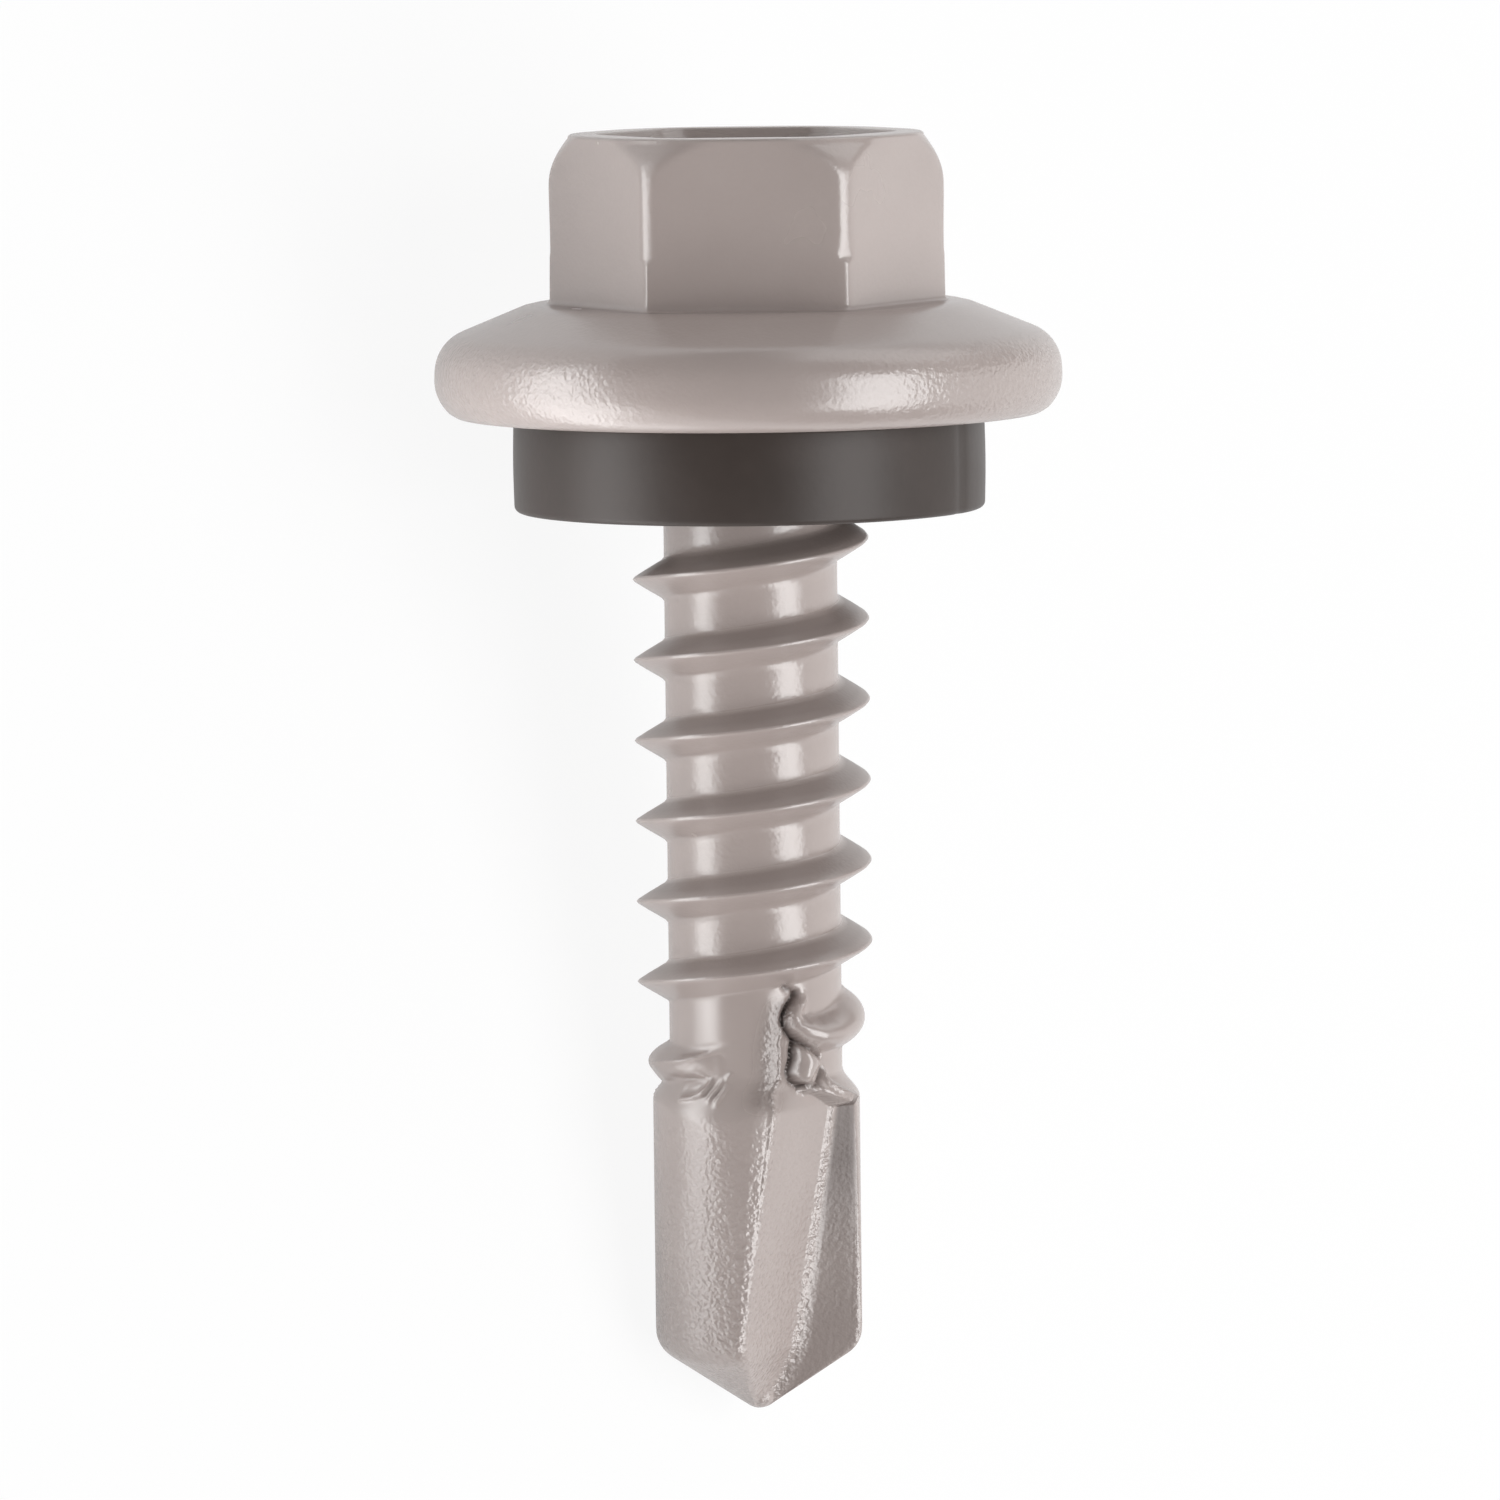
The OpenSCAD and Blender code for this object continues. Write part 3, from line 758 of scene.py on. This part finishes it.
def fill_column(j, heights):
    az_here = column_directions(heights, turned_radius(heights))[:, j]
    turned_here = turned_radius(heights, az_here)
    r_here, grit_here, painted_shade_here = lower_radius(az_here, az_here - SEAM, heights, turned_here)
    below = heights < PLAIN_FROM
    points = round_points(np.where(below, r_here, CORE_R), az_here, heights)
    return skin.add_points(points, grit_here * below, painted_shade_here * below).tolist()

lower = [level_points(j, drill[0, j], end_rows[0, j]) for j in range(COLUMNS)]
lower.append(lower[0] + end_rows[1:FINE_ROWS + 1, 0].tolist())
upper = [level_points(j, thread_rows[-1, j], shank_top[j % COLUMNS]) for j in range(1, COLUMNS + 1)]
upper.insert(0, thread_rows[-ROWS_PER_TURN - 1:-1, -1].tolist() + upper[-1])
for wedge in (lower, upper):
    for left, right in zip(wedge[:-1], wedge[1:]):
        skin.stitch(left, right)
print("wedges filled, points so far:", skin.count)

# %% [markdown]
# The head was forged in one blow with its flange. The flange is a cone with a fully rounded rim. The hex
# grows out of it with a small fillet. Its corners are narrow flat lands, left by the die, that end in a step
# above the flange, and its top corners are rounded over. A shallow recess, hexagonal with well rounded
# corners, saves metal in the top.

# %% Outline of the flange
UNDERSIDE_R = (2.09, 3.6, 5.0, 5.6, 6.2, 6.66)     # rows on its flat underside
SLOPE_SHARES = (0.2, 0.4, 0.6, 0.8, 0.93)          # rows on its slope, from the rim up

def flange_outline():
    collar = np.array((HEX_R + COLLAR_W, FLANGE_H))
    rim, edge = np.array((FLANGE_R - RIM_R, RIM_H)), np.array((FLANGE_R - EDGE_R, EDGE_H))
    to_rim = rim - collar
    slope = math.degrees(math.atan2(to_rim[1], to_rim[0]) + math.asin(RIM_R / np.hypot(*to_rim)))
    lowest = -math.degrees(math.asin(EDGE_H / EDGE_R))
    rows = [(2.02, -0.05)] + [(r, 0.0) for r in UNDERSIDE_R] + [(6.75, 0.012)]
    rows += arc_rows(edge, EDGE_R, lowest + 3, 0, 9) + [(FLANGE_R, RIM_H)]
    rows += arc_rows(rim, RIM_R, 0, slope + 90, 9)
    rows += line_rows(rows[-1], collar, SLOPE_SHARES)
    return rows + [(collar[0] - 0.02, collar[1] - 0.02), (collar[0] - 0.09, collar[1])]

flange_rows = flange_outline()
print("flange rows:", len(flange_rows))

# %% [markdown]
# The columns of the hex slide along the flange until they crowd at its corners. There the small land and its
# roundings need them, and the flat sides don't. A flat, a land and the round crown are each a radius, so the
# soft minimum of the three is the hex with all its edges already rounded.

# %% Shape of the hex
FOOT = 0.13             # fillet at the hex's foot
LAND_D = 4.535          # distance of a corner's land from the axis
LAND_FROM, LAND_STEP = 3.62, 0.16
SIDE_LAND = 0.3         # share of a land's depth at the corners on either side
CORNER_BLUNT = 0.018    # how much is off the sharp corners below the lands
DENT_DEPTH, DENT_AZ, DENT_Z = 0.035, 30, 3.85   # a nick in one land, just above its step
DENT_W, DENT_H = 5, 0.16
EDGE_TOP, EDGE_IN = 0.09, 0.10      # height and width of the rounding along the top edge
LUMP_SIZE, LUMP_DEPTH = 1.6, 0.04   # of the head's unevenness
SLIDE_FROM, SLIDE_POWER = 24, 1.6   # row of the flange from which its columns slide, and how strongly

def off_corner(az):
    """Angle from the nearest corner of the hex."""
    return az % 60 - 30

def slide(az, share):
    """Directions drawn towards the corners of the hex."""
    off = off_corner(az)
    return az + (30 * np.sign(off) * (np.abs(off) / 30) ** SLIDE_POWER - off) * share

def hex_radius(az, z):
    off = off_corner(az)
    flat = HEX_FLAT / cos_deg(30 - np.abs(off))
    dent = DENT_DEPTH * hump(turned(az - DENT_AZ), DENT_W) * hump(z - DENT_Z, DENT_H)
    at_side = np.abs(np.abs(turned(az)) - 90) < 30
    corner = HEX_R - CORNER_BLUNT
    depth = np.where(at_side, SIDE_LAND, 1.0) * (corner - LAND_D)
    land = corner - depth * ease(z, LAND_FROM, LAND_FROM + LAND_STEP) - dent
    r = soft_min(flat, land / cos_deg(off), 0.04)
    lift = np.maximum(z - (TOP_Z - CROWN_DROP), 0)
    crown = HEX_R - CROWN_R + np.sqrt(CROWN_R ** 2 - lift ** 2)
    return soft_min(r, crown - 0.01, 0.05)

def uneven(az, z, size, depth):
    """How far a forged surface lies below its true shape, up to a depth."""
    points = round_points(3.0, az, z).reshape(-1, 3) / size
    return depth * np.array([0.5 + 0.5 * noise.noise(Vector(p)) for p in points]).reshape(np.shape(az))

head_rows = []

def add_row(az, r, z):
    head_rows.append(np.broadcast_arrays(r, az, z))

for k, (r0, z0) in enumerate(flange_rows):
    share = max(0.0, (k - SLIDE_FROM) / (len(flange_rows) - SLIDE_FROM))
    add_row(slide(column_az[:-1], share), r0, z0)
az = slide(column_az[:-1], 1.0)
foot_r, outer = hex_radius(az, FLANGE_H + FOOT), flange_rows[-1][0]
for t in (0.4, 0.8):
    add_row(az, outer + (foot_r + FOOT - outer) * t, FLANGE_H)
for a in np.linspace(0, 75, 4):
    add_row(az, foot_r + FOOT * (1 - sin_deg(a)), FLANGE_H + FOOT * (1 - cos_deg(a)))
wall_top = TOP_Z - EDGE_TOP
wall_z = np.concatenate([np.linspace(FLANGE_H + FOOT, 3.55, 5), np.linspace(3.6, 3.86, 7),
                         np.linspace(3.95, 4.95, 8), np.linspace(5.05, wall_top, 15)])
for z0 in wall_z:
    add_row(az, hex_radius(az, z0), z0)
rim_r = head_rows[-1][0]
for a in (22, 45, 68, 90):
    add_row(az, rim_r - EDGE_IN * (1 - cos_deg(a)), wall_top + EDGE_TOP * sin_deg(a))
top_r = head_rows[-1][0]
recess_r = soft_min(RECESS_R / cos_deg(30 - np.abs(off_corner(az))), RECESS_CORNER_R, 0.05) / RECESS_R
floor_r, floor_z = RECESS_R - RECESS_TAPER, TOP_Z - RECESS_H
mouth = [(RECESS_R + 0.05, TOP_Z), (RECESS_R + 0.015, TOP_Z - 0.015), (RECESS_R - 0.01, TOP_Z - 0.05),
         (floor_r + 0.07, floor_z + 0.06), (floor_r + 0.02, floor_z + 0.01), (floor_r - 0.05, floor_z),
         (1.8, floor_z), (0.9, floor_z), (0.25, floor_z)]
for t in (0.35, 0.7):
    add_row(az, top_r + (mouth[0][0] * recess_r - top_r) * t, TOP_Z)
for r0, z0 in mouth:
    add_row(az, r0 * recess_r, z0)
head_r, head_az, head_z = np.array(head_rows).transpose(1, 0, 2)
bumpy = ease(head_z, 0.4, 1.2) * ease(head_r, 1.0, 2.0) * (1 - ease(head_z, TOP_Z - 0.3, TOP_Z))
head_r = head_r - uneven(head_az, head_z, LUMP_SIZE, LUMP_DEPTH) * bumpy
head_grit = 0.09 + 0.6 * ease(head_r, 6.6, 7.2) * ease(np.abs(sin_deg(head_az)), 0.2, 0.9)
# Painted shade darkens the recess in the top a little.
recess_painted_shade = 0.12 * (1 - ease(head_z, TOP_Z - 0.2, TOP_Z)) * (head_z > 3) * (head_r < RECESS_CORNER_R)
head = skin.grid(round_points(head_r, head_az, head_z), head_grit, recess_painted_shade)
skin.faces += quads(shank_top, np.roll(shank_top, -1), np.roll(head[0, :-1], -1), head[0, :-1])
skin.fan(head[-1], (0, 0, floor_z))
print("rows of the head:", len(head_r), "widest", round(float(head_r.max()), 3))

# %% [markdown]
# The patches meet point on point, so merging close points closes the surface. The faces are then turned
# outwards, and the whole screw is one smooth closed skin, painted as one piece as the real one is.

# %% One closed skin
WELD = 2e-4            # points closer than this are one, in millimetres

def closed_mesh(name, points, faces, values=None):
    """Welds the points, turns the faces outwards, smooths them and lays the piece down."""
    mesh = bpy.data.meshes.new(name)
    mesh.from_pydata(points.tolist(), [], faces)
    for value_name, value in (values or {}).items():
        layer = mesh.attributes.new(value_name, "FLOAT", "POINT")
        layer.data.foreach_set("value", value.astype(np.float32))
    bm = bmesh.new()
    bm.from_mesh(mesh)
    bmesh.ops.remove_doubles(bm, verts=bm.verts, dist=WELD)
    bmesh.ops.recalc_face_normals(bm, faces=bm.faces)
    for f in bm.faces:
        f.smooth = True
    bm.transform(LAY_DOWN)
    print(name + ":", len(bm.verts), "points,", sum(len(f.verts) - 2 for f in bm.faces), "triangles,",
          sum(len(e.link_faces) != 2 for e in bm.edges), "open edges")
    bm.to_mesh(mesh)
    bm.free()
    return mesh

def add_piece(name, mesh, material, node):
    piece = new_object(name, mesh)
    mesh.materials.clear()
    mesh.materials.append(material)
    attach(piece, "root")
    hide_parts(node)

grit_of, painted_shade_of = np.concatenate(skin.values).T
screw_mesh = closed_mesh("screw", np.concatenate(skin.points), skin.faces,
                         {"grit": grit_of, "painted_shade": painted_shade_of})
add_piece("painted_screw", screw_mesh, paint, "screw")

# %% [markdown]
# The washer is a moulded ring with softly rounded edges. Its bore hugs the thread and its top face rests on
# the flange. It is turned from one closed outline, and pressed rubber bulges a little at mid height. One
# shallow upright mark runs down its rim.

# %% Rubber washer
SEGMENTS = 160
WASHER_EDGE = 0.14     # rounding of its edges
BULGE = 0.018          # how far the rim stands out at mid height
SHRINK = 0.02          # how much less than its full radius the rest of the rim has
MARK_DEPTH, MARK_AZ, MARK_W = 0.05, 63, 1.6
MARK_R = 4.8           # the mark is only outside this radius

def washer_mesh():
    rim, top, bottom = WASHER_R - SHRINK, -WASHER_EDGE, WASHER_EDGE - WASHER_H
    outline = [(BORE_R, -0.02), (BORE_R + 0.02, -0.001)]
    outline += [(r, -0.001) for r in (3.6, 4.4, rim - WASHER_EDGE)]
    outline += arc_rows((rim - WASHER_EDGE, top), WASHER_EDGE, 90, 0, 6)
    outline += [(rim + BULGE * math.sin(math.pi * t), top + (bottom - top) * t)
                for t in np.linspace(0.1, 1, 9)]
    outline += arc_rows((rim - WASHER_EDGE, bottom), WASHER_EDGE, 0, -90, 6)
    outline += [(r, -WASHER_H) for r in (4.4, 3.6, BORE_R + 0.1)]
    outline += [(BORE_R + 0.03, -WASHER_H + 0.03), (BORE_R, -WASHER_H + 0.1), (BORE_R, -1.5), (BORE_R, -0.8)]
    az = np.arange(SEGMENTS) * 360 / SEGMENTS
    mark = MARK_DEPTH * hump(turned(az - MARK_AZ), MARK_W)
    rows = np.stack([round_points(r - mark * (r > MARK_R), az, z) for r, z in outline])
    index = np.arange(len(outline) * SEGMENTS).reshape(-1, SEGMENTS)
    below = np.roll(index, -1, 0)
    faces = quads(index, np.roll(index, -1, 1), np.roll(below, -1, 1), below)
    return closed_mesh("washer", rows.reshape(-1, 3), faces)

add_piece("rubber_washer", washer_mesh(), rubber, "sealing_washer")

# %% [markdown]
# The screw lies on a white table. The camera sees the table near white, so it is part diffuse, which holds
# the shadow, and part plain white for the camera and for reflections.

# %% Table
def make_table():
    material, t = new_material("white_table")
    path = t.node("ShaderNodeLightPath")
    node = path.out.node
    camera, glossy, through = (Socket(t, node.outputs[n]) for n in
                               ("Is Camera Ray", "Is Glossy Ray", "Is Transmission Ray"))
    share = (camera * 0.92 + glossy * 0.75 + through * 0.92).clamp()
    matt = t.node("ShaderNodeBsdfDiffuse", {}, {"Color": (0.86, 0.86, 0.86, 1)})
    glow = t.node("ShaderNodeEmission", {}, {"Color": (1, 1, 1, 1), "Strength": 1.0})
    both = t.node("ShaderNodeMixShader", {}, {0: share, 1: matt, 2: glow})
    t.node("ShaderNodeOutputMaterial", {}, {"Surface": both})
    return material

TABLE = 1.6            # half the table's width
table_mesh = bpy.data.meshes.new("table")
table_mesh.from_pydata([(-TABLE, -TABLE, 0), (TABLE, -TABLE, 0), (TABLE, TABLE, 0), (-TABLE, TABLE, 0)], [],
                       [(0, 1, 2, 3)])
table_mesh.materials.append(make_table())
table_top = new_object("table", table_mesh)

# %% [markdown]
# The photo has a light streak down either side of the shank, and its head and point are darker. So a tall
# soft box shines from the right of the camera. A big one further round lights the right side, and a smaller
# one near it lights the flange. The left streak comes from below the table's horizon. So a narrow box stands
# just above it, and two light panels are let into the table, one beside the shank and one beside the point.

# %% Light
MIDDLE_Z = -8 * MM     # height of the screw's middle, which the soft boxes face
PANEL_Z = 0.4 * MM     # height of the light panels over the table

def area_light(name, size, power, matrix):
    data = bpy.data.lights.new(name, "AREA")
    data.shape, data.size, data.size_y, data.energy = "RECTANGLE", size[0], size[1], power
    lamp = new_object(name, data)
    lamp.matrix_world = matrix
    return lamp

def facing_back(place, back, upright):
    """Matrix of a camera or light at a place, whose back and upright directions are given."""
    right = upright.cross(back).normalized()
    axes = (right, back.cross(right), back)
    return Matrix.Translation(place) @ Matrix([[axis[i] for axis in axes] for i in range(3)]).to_4x4()

def soft_box(name, az, along, distance, size, power):
    """An area light at a direction round the screw's axis, with its long side along the axis."""
    offset = facing_vector(az) * distance + to_head * along
    place = seat + to_head * MIDDLE_Z + offset
    area_light(name, size, power, facing_back(place, offset.normalized(), to_head))

soft_box("right box", 50, -0.06, 0.40, (0.25, 0.52), 1.95)
soft_box("side box", 104, -0.08, 0.50, (0.5, 0.5), 0.68)
soft_box("left box", -48.6, -0.06, 0.40, (0.05, 0.52), 0.03)
soft_box("head box", 100, 0.34, 0.20, (0.3, 0.3), 0.36)

def table_panel(name, near, low, size, turn, power):
    """A light panel let into the table beside the screw, which the camera doesn't see. Its near edge starts
    at a distance from the axis, beside a height of the screw, and turns away from the axis to the head."""
    corner = seat + to_head * low - side * near
    along_table = math.atan2(to_head.y, to_head.x) - math.pi / 2 + math.radians(turn)
    matrix = (Matrix.Translation((corner.x, corner.y, PANEL_Z)) @ Matrix.Rotation(along_table, 4, "Z")
              @ Matrix.Translation((-size[0] / 2, size[1] / 2, 0)) @ Matrix.Rotation(math.pi, 4, "X"))
    area_light(name, size, power, matrix).visible_camera = False

table_panel("left panel", 0.0078, -0.0120, (0.080, 0.080), 33, 0.071)
table_panel("point panel", 0.0048, -0.0262, (0.0082, 0.0138), 8, 0.00062)

world = bpy.data.worlds.new("soft room")
world.use_nodes = True
background = world.node_tree.nodes["Background"]
background.inputs["Color"].default_value = (1, 1, 1, 1)
background.inputs["Strength"].default_value = 0.1
bpy.context.scene.world = world
bpy.context.scene.view_settings.view_transform = "Standard"

# %% [markdown]
# The camera looks along the front direction from far off, a little from the head's side, with the head up in
# the picture. A long lens keeps the sides of the shank parallel.

# %% Camera
CAMERA_AWAY, CAMERA_ALONG = 220 * MM, 14.6 * MM
AIM_Z = -7.8 * MM      # height of the screw that it aims at
FRAME_W = 34.7 * MM    # width of the picture, at the screw
ROLL = 0.65
SHIFT = -0.06 * MM
SENSOR = 36

target = seat + to_head * AIM_Z
eye = seat + facing_vector(0) * CAMERA_AWAY + to_head * CAMERA_ALONG
back = (eye - target).normalized()
eye += to_head.cross(back).normalized() * SHIFT
lens = bpy.data.cameras.new("camera")
lens.sensor_width = SENSOR
lens.lens = SENSOR * (eye - target).length / FRAME_W
camera = new_object("camera", lens)
camera.matrix_world = facing_back(eye, back, to_head) @ Matrix.Rotation(math.radians(-ROLL), 4, "Z")
bpy.context.scene.camera = camera
print("lens:", round(lens.lens, 1), "mm")
